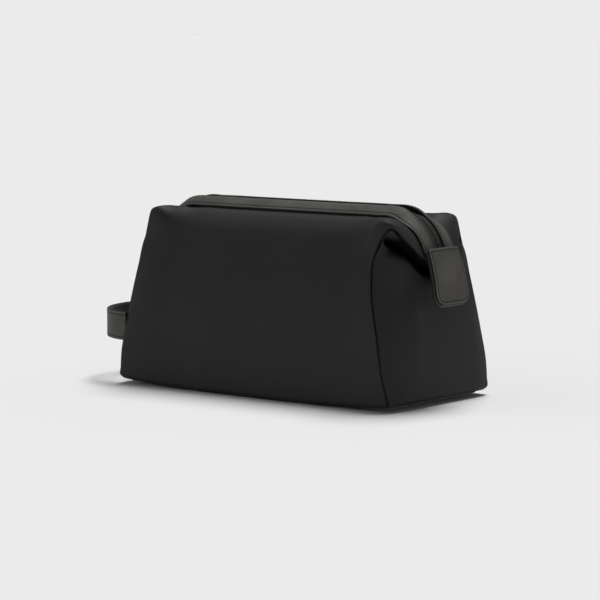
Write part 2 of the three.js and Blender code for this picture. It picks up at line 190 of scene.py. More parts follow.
def make_mesh(name, points, faces, normals=None, numbers=None):
    """An object from points in mm, with its own normals and named numbers for each point."""
    mesh = bpy.data.meshes.new(name)
    mesh.from_pydata([tuple(p) for p in np.asarray(points) * MM], [], [tuple(f) for f in faces])
    mesh.update()
    mesh.shade_smooth()
    for key, values in (numbers or {}).items():
        layer = mesh.attributes.new(key, "FLOAT", "POINT")
        layer.data.foreach_set("value", np.asarray(values, np.float32).ravel())
    if normals is not None:
        mesh.normals_split_custom_set_from_vertices([tuple(n) for n in normals])
    return new_object(name, mesh)


def grid_faces(rows, columns, start=0, flip=False):
    i, j = np.meshgrid(np.arange(rows - 1), np.arange(columns - 1), indexing="ij")
    a = (start + i * columns + j).ravel()
    quads = np.stack([a, a + columns, a + columns + 1, a + 1], axis=1)
    return quads[:, ::-1] if flip else quads


def rim_faces(rows, columns, second, flip=False):
    """Quads that close the border between two equal grids."""
    index = np.arange(rows * columns).reshape(rows, columns)
    ring = [*index[:, 0], *index[-1, 1:], *index[-2::-1, -1], *index[0, -2:0:-1]]
    pairs = zip(ring, ring[1:] + ring[:1])
    faces = [(a, b, second + b, second + a) for a, b in pairs]
    return [face[::-1] for face in faces] if flip else faces


def tube_faces(rings, around, start=0, caps=(True, True), closed=False):
    """Quads between equal rings of points; the ends are capped, or joined where it is closed."""
    faces = []
    for i in range(rings if closed else rings - 1):
        here, ahead = start + i * around, start + (i + 1) % rings * around
        for k in range(around):
            beside = (k + 1) % around
            faces.append((here + k, here + beside, ahead + beside, ahead + k))
    last = start + (rings - 1) * around
    if caps[0]:
        faces.append(tuple(range(start + around - 1, start - 1, -1)))
    if caps[1]:
        faces.append(tuple(range(last, last + around)))
    return faces


def panel(name, grid, normal, thick, extra=None):
    """Closed sheet of cloth under a grid of outer points, smooth on both sides."""
    rows, columns, _ = grid.shape
    outer = grid.reshape(-1, 3)
    face_normal = normal.reshape(-1, 3)
    inner = outer - face_normal * thick
    points = np.concatenate([outer, inner])
    mid = (rows // 2) * columns + columns // 2
    a, b, c = outer[mid], outer[mid + columns], outer[mid + 1]
    turned = np.dot(np.cross(b - a, c - a), face_normal[mid]) < 0
    faces = list(map(tuple, grid_faces(rows, columns, 0, turned)))
    faces += list(map(tuple, grid_faces(rows, columns, len(outer), not turned)))
    faces += rim_faces(rows, columns, len(outer), not turned)
    numbers = {key: np.tile(values.ravel(), 2) for key, values in (extra or {}).items()}
    return make_mesh(name, points, faces, np.concatenate([face_normal, -face_normal]), numbers)


# ---- nets of the body, in mm
# A column runs from the seam under the base, up the wall and over the shoulder, to under the trim.

HALF_LONG = 130
CORNER_LIFT = 3.6                 # of the base at its ends
LIFT_POWER = 2.5
UNDER_Z = SKIN                    # the walls' edges lie under the base, in from the foot
FOOT_Z = 3.0
RISER_SHARE = 0.28                # how far up toward its next point a column has a riser


def foot_lift(x):
    """The bag rests on the middle of its base; both ends of the base curve up a little."""
    return CORNER_LIFT * (abs(x) / HALF_LONG) ** LIFT_POWER


def with_foot(under, edge, side, rest):
    """A column: the foot turned under the base, a riser above it and the points it rises to."""
    foot = [(*under, UNDER_Z), (*edge, UNDER_Z), (*side, FOOT_Z)]
    foot = [np.add(p, (0, 0, foot_lift(p[0]))) for p in foot]
    riser = foot[-1] + (np.array(rest[0]) - foot[-1]) * RISER_SHARE
    return [tuple(p) for p in foot + [riser]] + rest


def column(foot_x, foot_y, rest, tuck=(0.0, 0.0)):
    under, edge = (foot_x - tuck[0], -54), (foot_x - tuck[1], foot_y + 1.5)
    return with_foot(under, edge, (foot_x, foot_y), rest)


def middle_column(x):
    toward_end = (abs(x) / FLAP_X) ** 3
    return column(1.13 * x, -BASE_Y - 0.2, [
        (1.12 * x, -63.8, 24), (1.09 * x, -61.6, 48), (1.03 * x, -53.5, 88),
        (x, -HINGE_Y, HINGE_Z), (x, -38.3 - 0.8 * toward_end, 126 + 1.4 * toward_end),
        (x, -28, 133.4 + 1.2 * toward_end), (x, -17, 135.7), (x, -12, 139.2),
    ])


HINGE_ROW = 7                     # of a front or back column, at the flap's hinge line
# The last columns before an end: the lips beside the zip end droop, and the seam closes the panel.
LIP_1 = [(97, -41, 131), (99.5, -29.5, 136.8), (100.5, -17, 133.8), (101.5, -12, 137.4)]
LIP_2 = [(107, -42.6, 135.6), (111, -30, 135.4), (114.8, -17, 128.8), (116.5, -12, 129.8)]
LIP_3 = [(112.8, -42.6, 134.4), (119, -30.5, 128.8), (123.9, -17.5, 119.6), (125.4, -12, 118.8)]
LIP_SEAM = [(116, -41, 129.9), (124.6, -31.5, 118.3), (129.8, -18.5, 106), (130.2, -12.5, 104)]
BOWED_END = [
    column(112, -64.2, [
        (111.5, -64, 24), (106.5, -62, 48), (95.5, -54.2, 89), (94, -47, HINGE_Z)] + LIP_1),
    column(122, -64.2, [
        (119.5, -64.1, 24), (113, -62.3, 48), (101, -54.3, 90), (100, -47.2, HINGE_Z)] + LIP_2),
    column(126.5, -64, [
        (122.5, -64.2, 25), (117, -62.3, 49), (105, -54, 91), (103, -47.4, HINGE_Z)]
        + LIP_3, (2.5, 0.8)),
    column(129, -63, [
        (124.2, -64.2, 25), (118.8, -62, 49), (107, -54, 90), (105.2, -47.4, HINGE_Z)]
        + LIP_SEAM, (4.5, 1.2)),
]
STRAIGHT_END = [
    column(112.5, -64.2, [
        (112, -63.9, 24), (108, -61.8, 48), (101, -53.8, 89), (98, -46.8, HINGE_Z)] + LIP_1),
    column(122.5, -64, [
        (121, -63.7, 24), (117.5, -61.2, 48), (112, -52.6, 90), (108.5, -46.4, HINGE_Z)] + LIP_2),
    column(127, -63.5, [
        (125.8, -63.2, 25), (122.6, -60.2, 49), (117.8, -51.4, 90), (114.5, -45.9, HINGE_Z)]
        + LIP_3, (2.5, 0.8)),
    column(129.5, -62.5, [
        (128.4, -62, 25), (125.6, -58.8, 49), (121.5, -50.4, 90), (118.8, -45.6, HINGE_Z)]
        + LIP_SEAM, (4.5, 1.2)),
]


def body_net(left_end, right_end):
    middle = [middle_column(x) for x in (30, 58, FLAP_X)]
    left = [[(-x, y, z) for x, y, z in c] for c in reversed(middle + left_end)]
    return np.array(left + [middle_column(0.0)] + middle + right_end, float)


front_net = body_net(STRAIGHT_END, BOWED_END)
back_net = body_net(STRAIGHT_END, STRAIGHT_END) * np.array([1, -1, 1])


def end_column(foot_x, y, rest):
    return with_foot((124.5, y * 0.93), (foot_x - 1.5, y * 0.99), (foot_x, y), rest)


def corner_column(seam_column):
    """The end panel's first column is the front panel's last one, up to the peak of the seam."""
    below, peak = np.array(seam_column[HINGE_ROW]), np.array(seam_column[HINGE_ROW + 1])
    between = [below + (peak - below) * f + np.array([-1.2, 0, 0.6]) for f in (0.42, 0.74)]
    return seam_column[:HINGE_ROW + 1] + [tuple(p) for p in between] + [tuple(peak)]


# Each column goes straight up, over a brow, into the tuck under the drooping zip end and out again.
BOWED_SIDE = end_column(131, -50, [
    (128.6, -50, 24), (125, -48.5, 48), (116.8, -43, 88), (114.5, -39.8, 110),
    (111, -39.2, 116), (104, -37.5, 119.5), (119.6, -36.3, 123)])
STRAIGHT_SIDE = end_column(131.2, -50, [
    (130.4, -50, 24), (128, -48.5, 48), (121.8, -43, 88), (119.2, -39.8, 112.5),
    (113.5, -39.2, 118.3), (106, -37.5, 120.5), (119.6, -36.3, 123)])
END_HALF = end_column(131.6, -32, [
    (130.9, -32, 24), (128.8, -31, 48), (122.4, -28, 84), (120.8, -28, 105.5),
    (116.5, -28, 111), (105, -27, 114), (123.8, -31.5, 117.3)])
END_NEAR = end_column(131.8, -15, [
    (131.1, -15, 24), (129, -14.5, 47), (123, -13, 80), (122.6, -13.5, 94),
    (118.5, -13.5, 98), (107, -13.5, 101), (129, -18.5, 104.8)])
END_MIDDLE = end_column(131.8, 0, [
    (131.1, 0, 24), (129, 0, 46), (123, 0, 78), (122.8, 0, 91.5),
    (118.5, 0, 95), (107, 0, 98), (129.8, 0, 101.3)])
BROW_ROW = 7                      # of an end column, where the wall turns in under the zip end


def end_net(front_seam, front_side):
    front = [corner_column(front_seam), front_side, END_HALF, END_NEAR]
    back = [corner_column(STRAIGHT_END[-1]), STRAIGHT_SIDE, END_HALF, END_NEAR]
    back = [[(x, -y, z) for x, y, z in c] for c in reversed(back)]
    return np.array(front + [END_MIDDLE] + back, float)


right_end_net = end_net(BOWED_END[-1], BOWED_SIDE)
left_end_net = end_net(STRAIGHT_END[-1], STRAIGHT_SIDE) * np.array([-1, 1, 1])

# ---- the strip beside the zip
# Trim, tape and coil follow one path over the top and down both ends.

RIDGE_HALF = np.array([
    (0, CREST_Z), (41, CREST_Z), (FLAP_X, CREST_Z), (97, CREST_Z - 0.35), (103, 141.6),
    (109, 138), (118, 130.5), (125, 120.5), (129.5, 110), (132, 101)])
ridge_points = np.concatenate([RIDGE_HALF[:0:-1] * np.array([-1, 1]), RIDGE_HALF])
ridge_lengths = np.linalg.norm(np.diff(ridge_points, axis=0), axis=1)
RIDGE_LONG = ridge_lengths.sum() / 2
ridge_knots = np.append(0, np.cumsum(ridge_lengths)) - RIDGE_LONG
SECTION = np.array([(0, -0.5), (ZIP_GAP_Y, -0.3), (7, -0.2), (11.5, -2.6), (TRIM_EDGE_Y, -7),
                    (20, -9.5)])
TAPE_DEPTH = 3.4                  # below the trims, where the slider runs
TIP_TAPE_DEPTH = 0.9              # and over the ends, past the stops
TIP_SPREAD = 1.3                  # how much further apart the trims are there
# Ranges of |x| over which the tape rises, the trims spread and the section flattens.
TAPE_RISES, TRIMS_SPREAD, SECTION_FLATTENS = (103, 113), (88, 120), (104, 126)
FLAT_SHARE = 0.93


def ridge(s):
    return spline(ridge_knots, ridge_points, s)


def section_height(y):
    return spline(SECTION[:, 0], SECTION[:, 1], y)


def out_of_section(y):
    """Unit direction out of the strip at y across it: (shift across, rise)."""
    before, after = section_height([y - 0.3, y + 0.3])
    slope = (after - before) / 0.6
    length = math.hypot(1, slope)
    return -slope / length, 1 / length


def tape_depth(s):
    over_end = smooth_step(np.abs(ridge(s)[..., 0]), *TAPE_RISES)
    return TAPE_DEPTH + (TIP_TAPE_DEPTH - TAPE_DEPTH) * over_end


def strip_point(s, y, side, drop=None, rise=0.0, shift=0.0):
    """Point s along the strip, y across it and rise out of it; side is -1 in front, 1 behind."""
    s = np.asarray(s, float)
    place = ridge(s)
    ahead = unit(ridge(s + 0.4) - ridge(s - 0.4))
    if drop is None:
        drop = section_height(y)
    x = np.abs(place[..., 0])
    spread = TIP_SPREAD * smooth_step(y, 1, ZIP_GAP_Y) + 0.05 * y
    y = y + smooth_step(x, *TRIMS_SPREAD) * spread
    height = drop * (1 - FLAT_SHARE * smooth_step(x, *SECTION_FLATTENS)) + rise
    return np.stack([
        place[..., 0] - ahead[..., 1] * height,
        side * (np.asarray(y) + shift) + 0 * s,
        place[..., 1] + ahead[..., 0] * height,
    ], axis=-1)


def flat_outline(start, end, under, over, edge, count):
    """Cross-section of a flat strip with rounded edges: (across, rise) round it."""
    middle, half = (over + under) / 2, (over - under) / 2
    start_flat, end_flat = start + edge, end - edge
    outline = []
    for level, a, b, rim, way in ((over, start_flat, end_flat, end, 1),
                                  (under, end_flat, start_flat, start, -1)):
        outline += [(y, level) for y in np.linspace(a, b, count)]
        for turn in np.radians((30, 60, 90, 120, 150)):
            outline.append((rim - way * edge * (1 - math.sin(turn)),
                            middle + way * half * math.cos(turn)))
    return outline


def strip_profile(start, end, over, under, edge):
    """Outline of a strip's cross-section: (y on the section, shift, rise) for each corner."""
    outline = flat_outline(start, end, under, over, edge, 14)
    directions = [out_of_section(y) for y, _ in outline]
    return np.array([(y, shift * rise, up * rise)
                     for (y, rise), (shift, up) in zip(outline, directions)])


def sweep(name, rings, normals=None, caps=(True, True), numbers=None):
    """Skin over rings of points; rings has the shape (stations, points of the ring, 3)."""
    stations, around, _ = rings.shape
    if faces_inward(rings):
        rings = rings[:, ::-1]
        normals = None if normals is None else normals[:, ::-1]
        numbers = {k: v.reshape(stations, around)[:, ::-1] for k, v in (numbers or {}).items()}
    if normals is not None:
        normals = normals.reshape(-1, 3)
    faces = tube_faces(stations, around, caps=caps)
    return make_mesh(name, rings.reshape(-1, 3), faces, normals, numbers)


def faces_inward(rings):
    """Whether quads wound along each ring would face its middle."""
    ring, following = rings[0], rings[1]
    out = np.cross(np.roll(ring, -1, axis=0) - ring, following - ring)
    return np.sum(out * (ring - ring.mean(axis=0))) < 0


def ring_normals(rings):
    around = np.roll(rings, -1, axis=1) - np.roll(rings, 1, axis=1)
    normal = unit(np.cross(around, np.gradient(rings, axis=0)))
    centre = rings.mean(axis=1, keepdims=True)
    return normal * np.sign(np.sum(normal * (rings - centre), axis=(1, 2), keepdims=True))


# ---- how pieces are attached to bodies or baked in place

ENDS = (("left", -1), ("right", 1))
SIDES = (("front", -1), ("back", 1))
UNDER_CLOTH = 0.4                 # from the cloth to its lining
UNDER_END_CLOTH = 0.6
LINING_LAP = 4                    # how far the walls' lining runs past the hinge line
LAP_GAP = 0.15                    # between the two linings there


def shown_as(nodes):
    if nodes:
        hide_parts(*nodes)


def on_body(piece, body, slot_name, *nodes):
    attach(piece, body)
    shown_as(nodes)


def on_mouth(piece, side, sign, slot_name, *nodes):
    """Half of a mouth piece: its transform is baked into its points and the parts it stands for are
    hidden.
    """
    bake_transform(piece)
    shown_as(nodes)


def on_loop(piece, *nodes):
    """The loop turns on its sewn ends; a loop piece here only has its transform baked and the parts
    it stands for hidden.
    """
    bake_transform(piece)
    shown_as(nodes)


def part_of(values, low, high):
    """The slice of a sorted list of values from low to high, both included."""
    return slice(int(np.argmin(np.abs(values - low))), int(np.argmin(np.abs(values - high))) + 1)


# ---- walls, mouth, ends and their linings


def sewn_grid(net, u, v, sign):
    """Grid and normals with the sides and foot turned in, and the distances to those edges."""
    grid = net_grid(net, u, v)
    side = np.minimum(edge_distance(grid, 0, 0), edge_distance(grid, 0, 1))
    foot = edge_distance(grid, 1, 0)
    sunk = turned_edge(side) + turned_edge(foot)
    grid = grid - grid_normals(grid, sign) * sunk[..., None]
    return grid, grid_normals(grid, sign), side, foot


def body_side(side, net, sign):
    knots_u, knots_v = net_knots(net)
    middle, hinge, top = knots_u[len(net) // 2], knots_v[HINGE_ROW], knots_v[-1]
    u = dense_ends(knots_u[-1], 121)
    v = dense_ends(top, 72, far_end=False)
    u = np.unique(np.append(u, middle))
    v = np.unique(np.append(v, (hinge, hinge + LINING_LAP, knots_v[2])))
    grid, normal, seam, foot = sewn_grid(net, u, v, sign)
    near_seam = np.minimum(seam, foot)
    parts = (slice(None), part_of(v, 0, hinge))
    wall = panel(f"{side}_wall", grid[parts], normal[parts], SKIN, {"seam": near_seam[parts]})
    on_body(wall, "root", "body_skin", f"{side}_panel")
    parts = (slice(None), part_of(v, knots_v[2], hinge + LINING_LAP))
    inside = grid - normal * (SKIN + UNDER_CLOTH)
    lining = panel(f"{side}_wall_lining", inside[parts], normal[parts], LINING)
    on_body(lining, "root", "lining", f"{side}_lining")
    inside = inside + normal * LAP_GAP
    for end, half_sign in ENDS:
        columns = part_of(u, 0, middle) if half_sign < 0 else part_of(u, middle, u[-1])
        parts = (columns, part_of(v, hinge, top))
        mouth = panel(f"{side}_{end}_mouth", grid[parts], normal[parts], SKIN,
                      {"seam": near_seam[parts]})
        on_mouth(mouth, side, half_sign, "body_skin",
                 f"{side}_roof_flap", f"{side}_{end}_zip_end_panel")
        lining = panel(f"{side}_{end}_mouth_lining", inside[parts], normal[parts], LINING)
        on_mouth(lining, side, half_sign, "lining", f"{side}_roof_lining")


body_side("front", front_net, 1)
body_side("back", back_net, -1)


def end_panel(end, net, sign):
    knots_u, knots_v = net_knots(net)
    u = dense_ends(knots_u[-1], 61)
    v = dense_ends(knots_v[-1], 61)
    v = np.unique(np.append(v, (knots_v[2], knots_v[BROW_ROW])))
    grid, normal, side, foot = sewn_grid(net, u, v, sign)
    seam = np.minimum(np.minimum(side, foot), edge_distance(grid, 1, 1))
    # painted shade: the end panel turns near black over the tuck under the drooping zip end, where
    # shade falls
    fold = smooth_step(v, knots_v[BROW_ROW] - 3, knots_v[BROW_ROW] + 4) * smooth_step(side, 3, 12)
    piece = panel(f"{end}_end", grid, normal, SKIN, {"seam": seam, "fold": fold})
    on_body(piece, "root", "body_skin", f"{end}_end_panel")
    parts = (slice(None), part_of(v, knots_v[2], knots_v[BROW_ROW]))
    inside = grid - normal * (SKIN + UNDER_END_CLOTH)
    lining = panel(f"{end}_inner_end_lining", inside[parts], normal[parts], LINING)
    on_body(lining, "root", "lining", f"{end}_end_lining")


end_panel("right", right_end_net, 1)
end_panel("left", left_end_net, -1)

# ---- flat outlines and plates


def cornered_outline(corners, side_steps, corner_steps=8):
    """Points round a shape, counterclockwise; a corner is (centre x, centre y, radius)."""
    outline = []
    for quarter, (x, y, radius) in enumerate(corners):
        for k in range(corner_steps + 1):
            angle = math.radians(90 * quarter + 90 * k / corner_steps)
            outline.append(np.array([x + radius * math.cos(angle), y + radius * math.sin(angle)]))
    filled = []
    for k, point in enumerate(outline):
        following = outline[(k + 1) % len(outline)]
        steps = side_steps if (k + 1) % (corner_steps + 1) == 0 else 1
        filled += [point + (following - point) * f / steps for f in range(steps)]
    return np.array(filled)


def rounded_outline(half_x, half_y, radius, side_steps):
    x, y = half_x - radius, half_y - radius
    corners = [(x, y, radius), (-x, y, radius), (-x, -y, radius), (x, -y, radius)]
    return cornered_outline(corners, side_steps)


def inward_of(outline):
    ahead = np.roll(outline, -1, axis=0) - np.roll(outline, 1, axis=0)
    return unit(np.stack([-ahead[:, 1], ahead[:, 0]], axis=1))


def plate_rings(outline, thick, edge, insets):
    """Rings from the back of a plate to its face: (outline, height, inset, turn of the normal)."""
    steps = [(inset, 0.0, 0.0) for inset in reversed(insets)]
    for turn in np.radians(range(0, 181, 20)):
        steps.append((edge * (1 - math.sin(turn)), thick / 2 * (1 - math.cos(turn)), turn))
    steps += [(inset, thick, math.pi) for inset in insets]
    inward = inward_of(outline)
    return [(outline + inward * inset, height, inset, turn) for inset, height, turn in steps]


MID_PLATE = 8.0                   # the number "edge" over the middle of a plate


def shaped_plate(name, outline, thick, edge, place, insets=(0.9, 1.4, 1.8, 2.3, 2.8), shrinks=8):
    """A plate laid by place(a, b, height) -> point in mm; its number "edge" is 0 at the rim."""
    rings = plate_rings(outline, thick, edge, insets)
    outward = -inward_of(outline)
    middle = outline.mean(axis=0)
    back, face = rings[0], rings[-1]
    for m in range(1, shrinks + 1):
        share = min(m / shrinks, 0.98)
        rings.insert(0, (back[0] + (middle - back[0]) * share, 0.0, MID_PLATE, 0.0))
        rings.append((face[0] + (middle - face[0]) * share, thick, MID_PLATE, math.pi))
    points, normals, distance = [], [], []
    for flat, height, inset, turn in rings:
        for (a, b), out in zip(flat, outward):
            here = place(a, b, height)
            along_a = place(a + 0.1, b, height) - here
            along_b = place(a, b + 0.1, height) - here
            up = place(a, b, height + 0.1) - here
            normal = (along_a * out[0] + along_b * out[1]) * math.sin(turn) - up * math.cos(turn)
            points.append(here)
            normals.append(unit(normal))
            distance.append(inset)
    count = len(outline)
    faces = tube_faces(len(rings), count)
    sample = faces[len(rings) // 2 * count]
    corner = [points[k] for k in sample[:3]]
    winding = np.cross(corner[1] - corner[0], corner[2] - corner[0])
    if np.dot(winding, normals[sample[0]]) < 0:
        faces = [face[::-1] for face in faces]
    return make_mesh(name, points, faces, normals, {"edge": distance})


# ---- base

base = shaped_plate("base_skin", rounded_outline(122, 54.4, 6, 24), SKIN, 0.5,
                    lambda a, b, h: np.array([a, b, h + foot_lift(a)]))
on_body(base, "root", "body_skin", "base_panel")
base_lining = shaped_plate("base_inner_lining", rounded_outline(119, 52, 4, 24), 0.6, 0.25,
                           lambda a, b, h: np.array([a, b, BOARD_TOP + 0.2 + h]))
on_body(base_lining, "root", "lining", "base_lining")

# ---- stitches

# Each ring is (place along the thread, share of its radius).
THREAD_RINGS = ((-1, 0.25), (-0.75, 0.8), (-0.3, 1), (0.3, 1), (0.75, 0.8), (1, 0.25))
THREAD_AROUND = 6
THREAD_FLAT = 0.6
THREAD_SINK, THREAD_ARCH = 0.16, 0.14


def stitch_row(name, path, normals, pitch=3.2, long=2.3, wide=0.75):
    """Stitches along a path: short threads that rise in the middle and dip in at their ends."""
    path, normals = np.asarray(path, float), np.asarray(normals, float)
    travelled = np.append(0, np.cumsum(np.linalg.norm(np.diff(path, axis=0), axis=1)))
    count = max(int(travelled[-1] / pitch), 1)

    def at(s, values):
        return np.array([np.interp(s, travelled, values[:, k]) for k in range(3)])

    points, faces = [], []
    for centre in (np.arange(count) + 0.5) * travelled[-1] / count:
        faces += tube_faces(len(THREAD_RINGS), THREAD_AROUND, len(points))
        for t, swell in THREAD_RINGS:
            s = centre + t * long / 2
            up = unit(at(s, normals))
            across = np.cross(unit(at(s + 0.3, path) - at(s - 0.3, path)), up)
            middle = at(s, path) + up * (THREAD_ARCH * (1 - t * t) - THREAD_SINK)
            radius = wide / 2 * swell
            for k in range(THREAD_AROUND):
                angle = 2 * math.pi * k / THREAD_AROUND
                points.append(middle + across * radius * math.cos(angle)
                              + up * radius * THREAD_FLAT * math.sin(angle))
    return make_mesh(name, points, faces)


# ---- trims, zip tapes and coils

STRIP_END = 0.972 * RIDGE_LONG
strip_stations = np.linspace(-STRIP_END, STRIP_END, 181)
strip_halves = {"left": slice(0, 91), "right": slice(90, 181)}
TRIM_OVER = 0.55
trim_profile = strip_profile(ZIP_GAP_Y, TRIM_EDGE_Y, TRIM_OVER, -0.8, 0.55)
tape_profile = strip_profile(0.36, 8.2, 0.35, -0.35, 0.2)


def strip_halves_of(side, word, profile, slot_name, nodes, depth=0.0):
    rings = np.stack([
        strip_point(strip_stations, y, dict(SIDES)[side], rise=rise - depth, shift=shift)
        for y, shift, rise in profile], axis=1)
    normals = ring_normals(rings)
    y = profile[:, 0]
    numbers = {
        "across": np.tile(y + profile[:, 1], len(rings)),
        "along": np.repeat(strip_stations, len(profile)),
        "edge": np.tile(np.minimum(y - y.min(), y.max() - y), len(rings)),
    }
    for end, sign in ENDS:
        half = strip_halves[end]
        rows = slice(half.start * len(profile), half.stop * len(profile))
        here = {k: values[rows] for k, values in numbers.items()}
        tip = (end == "left", end == "right")
        piece = sweep(f"{side}_{end}_{word}", rings[half], normals[half], tip, here)
        on_mouth(piece, side, sign, slot_name, *[n.format(side=side, end=end) for n in nodes])


def strip_stitches(side, word, y):
    """A row of stitches along a trim, in two halves, at y across it."""
    shift, up = out_of_section(y)
    for end, sign in ENDS:
        s, side_sign = strip_stations[strip_halves[end]], dict(SIDES)[side]
        outer = strip_point(s, y, side_sign, rise=TRIM_OVER * up, shift=TRIM_OVER * shift)
        row = stitch_row(f"{side}_{end}_{word}", outer, outer - strip_point(s, y, side_sign))
        on_mouth(row, side, sign, "trim_leather")


for side, _ in SIDES:
    strip_halves_of(side, "trim_strip", trim_profile, "trim_leather",
                    ["{side}_trim", "{side}_{end}_trim_end"])
    strip_halves_of(side, "tape", tape_profile, "zip_tape",
                    ["{side}_zip_tape", "{side}_{end}_tape_end"], tape_depth(strip_stations))
    strip_stitches(side, "inner_stitches", ZIP_GAP_Y + SEAM_INSET)
    strip_stitches(side, "outer_stitches", TRIM_EDGE_Y - SEAM_INSET)

COIL_LONG = 96.0                  # as far as the zip opens
COIL_PITCH, COIL_RADIUS, COIL_WIRE = 1.5, 0.95, 0.36
COIL_Y = 1.65
COIL_BELOW_TAPE = 1.5


def wire_rings(path, ahead, radius, around):
    across = unit(np.cross(ahead, (0.0, 0.0, 1.0)))
    up = np.cross(across, ahead)
    return np.stack([path + radius * (across * math.cos(angle) + up * math.sin(angle))
                     for angle in 2 * math.pi * np.arange(around) / around], axis=1)


def zip_coil_half(side, end, side_sign, sign):
    """One spiral of nylon wire under the edge of a tape."""
    turns = int(COIL_LONG / COIL_PITCH)
    t = np.linspace(0, 1, turns * 10 + 1)
    angle = t * turns * 2 * math.pi
    y = COIL_Y + COIL_RADIUS * np.cos(angle)
    rise = -TAPE_DEPTH - COIL_BELOW_TAPE + 0.55 * np.sin(angle)
    centre = strip_point(sign * t * COIL_LONG, y, side_sign, drop=-0.5, rise=rise)
    rings = wire_rings(centre, unit(np.gradient(centre, axis=0)), COIL_WIRE, 5)
    on_mouth(sweep(f"{side}_{end}_coil", rings), side, sign, "zip_coil", f"{side}_zip_coil")


for side, side_sign in SIDES:
    for end, sign in ENDS:
        zip_coil_half(side, end, side_sign, sign)

# ---- end tabs

TAB_HIGH = 42.3                   # from its top edge over the zip end to its rounded lower edge
TAB_HALF = 18
TAB_TOP_RADIUS = 3.0
BOW_DOWN, BOW_ACROSS = 1.6, 1.4
TAB_TOP = np.array([129.9, 114.7])
TAB_LEAN = math.radians(14.5)
TAB_DOWN = np.array([math.sin(TAB_LEAN), -math.cos(TAB_LEAN)])
TAB_OUT = np.array([math.cos(TAB_LEAN), math.sin(TAB_LEAN)])


def tab_outline(half_top, half_low, high, radius_low):
    """Tab seen from outside: a across, b down from its top edge."""
    top, low, foot = half_top - TAB_TOP_RADIUS, half_low - radius_low, high - radius_low
    corners = [(low, foot, radius_low), (-low, foot, radius_low),
               (-top, TAB_TOP_RADIUS, TAB_TOP_RADIUS), (top, TAB_TOP_RADIUS, TAB_TOP_RADIUS)]
    return cornered_outline(corners, 12)


def tab_place(sign, back, slip=(0.0, 0.0)):
    """Lays a flat tab over the zip end: it bows a little down its length and across it."""

    def place(a, b, height):
        a, b = a + slip[0], b + slip[1]
        down = min(max(b / TAB_HIGH, 0), 1)
        bow = BOW_DOWN * math.sin(math.pi * down) - BOW_ACROSS * (a / TAB_HALF) ** 2
        x, z = TAB_TOP + TAB_DOWN * b + TAB_OUT * (back + bow + height)
        return np.array([sign * x, sign * a, z])

    return place


def tab_stitches(name, outline, sign, back):
    line = outline + inward_of(outline) * SEAM_INSET
    line = np.concatenate([line, line[:1]])
    place = tab_place(sign, back)
    outer, lifted = (np.array([place(a, b, height) for a, b in line]) for height in (0.0, 1.0))
    return stitch_row(name, outer, lifted - outer, pitch=3.0, long=2.1)


OUTER_TAB = tab_outline(18.6, 20.4, TAB_HIGH, 8.5)
UNDER_TAB = tab_outline(18.6, 20.6, TAB_HIGH + 0.4, 9.2)
OUTER_TAB_BACK, OUTER_TAB_THICK = 1.35, 1.7
for end, sign in ENDS:
    place = tab_place(sign, 0.0, (-0.9 * sign, 0.9))
    under = shaped_plate(f"{end}_under_tab", UNDER_TAB, 1.3, 0.55, place)
    on_body(under, "root", "trim_leather", f"{end}_tab_under")
    place = tab_place(sign, OUTER_TAB_BACK)
    outer = shaped_plate(f"{end}_outer_tab", OUTER_TAB, OUTER_TAB_THICK, 0.7, place)
    on_body(outer, "root", "trim_leather", f"{end}_tab_outer")
    face = OUTER_TAB_BACK + OUTER_TAB_THICK
    seam = tab_stitches(f"{end}_tab_stitches", OUTER_TAB, sign, face)
    on_body(seam, "root", "trim_leather")

# ---- carry loop

LOOP_MIDDLE_X = -125.0
OUTER_FACE, INNER_FACE = 2.0, -1.7    # of its two layers, from the middle line
LOOP_REACH = LOOP_MIDDLE_X - LOOP_TIP_X - OUTER_FACE
LOOP_HALF = 58.5
loop_turns = np.linspace(-0.5 * math.pi, 0.5 * math.pi, 97)


def loop_point(turn, height, off):
    """Point on the loop: turn round its half oval, height above its middle line, off outwards."""
    out_x, out_y = math.cos(turn), math.sin(turn)
    normal = unit(np.array([-out_x * LOOP_HALF, out_y * LOOP_REACH]))
    return np.array([
        LOOP_MIDDLE_X - (LOOP_REACH - OUTER_FACE) * out_x + normal[0] * off,
        LOOP_HALF * out_y + normal[1] * off,
        LOOP_Z + height,
    ])


def strap_layer(name, node, low, high, wide):
    outline = flat_outline(-wide / 2, wide / 2, low, high, 0.6, 12)
    rings = np.array([[loop_point(t, h, off) for h, off in outline] for t in loop_turns])
    near = np.array([wide / 2 - abs(h) for h, off in outline] * len(loop_turns))
    on_loop(sweep(name, rings, ring_normals(rings), numbers={"edge": near}), node)


strap_layer("outer_strap", "loop_outer_strap", 0.05, OUTER_FACE, STRAP_WIDE)
strap_layer("inner_strap", "loop_inner_strap", INNER_FACE, -0.05, STRAP_WIDE - 0.6)
for row, row_sign in (("low", -1), ("high", 1)):
    height = row_sign * (STRAP_WIDE / 2 - SEAM_INSET)
    for face, off, away in (("outer", OUTER_FACE, 1), ("inner", INNER_FACE, -1)):
        path, beyond = (np.array([loop_point(t, height, o) for t in loop_turns])
                        for o in (off, off + away))
        on_loop(stitch_row(f"strap_{face}_{row}_stitches", path, beyond - path))

# ---- slider, puller, pull

slider_long = slider_high[0] - slider_low[0]
SHOULDER = 3                      # radius of the slider's corners at its mouth
PLATE_THICK = 1.0
PLATE_Z = PULLER_Z - 1.9          # under side of the top plate
FOOT_THICK = 1.2
NECK_LONG, NECK_WIDE = 3.0, 0.5


def slider_outline(long, wide_back, wide_front, steps=10):
    """Seen from above: square at the tail, rounded shoulders at the mouth; counterclockwise."""
    outline = [(-long / 2, -wide_back / 2)]
    for end, start in ((-1, -90), (1, 0)):
        for angle in np.radians(start + 90 * np.arange(steps + 1) / steps):
            outline.append((long / 2 - SHOULDER + SHOULDER * math.cos(angle),
                            end * (wide_front / 2 - SHOULDER) + SHOULDER * math.sin(angle)))
    return outline + [(-long / 2, wide_back / 2)]


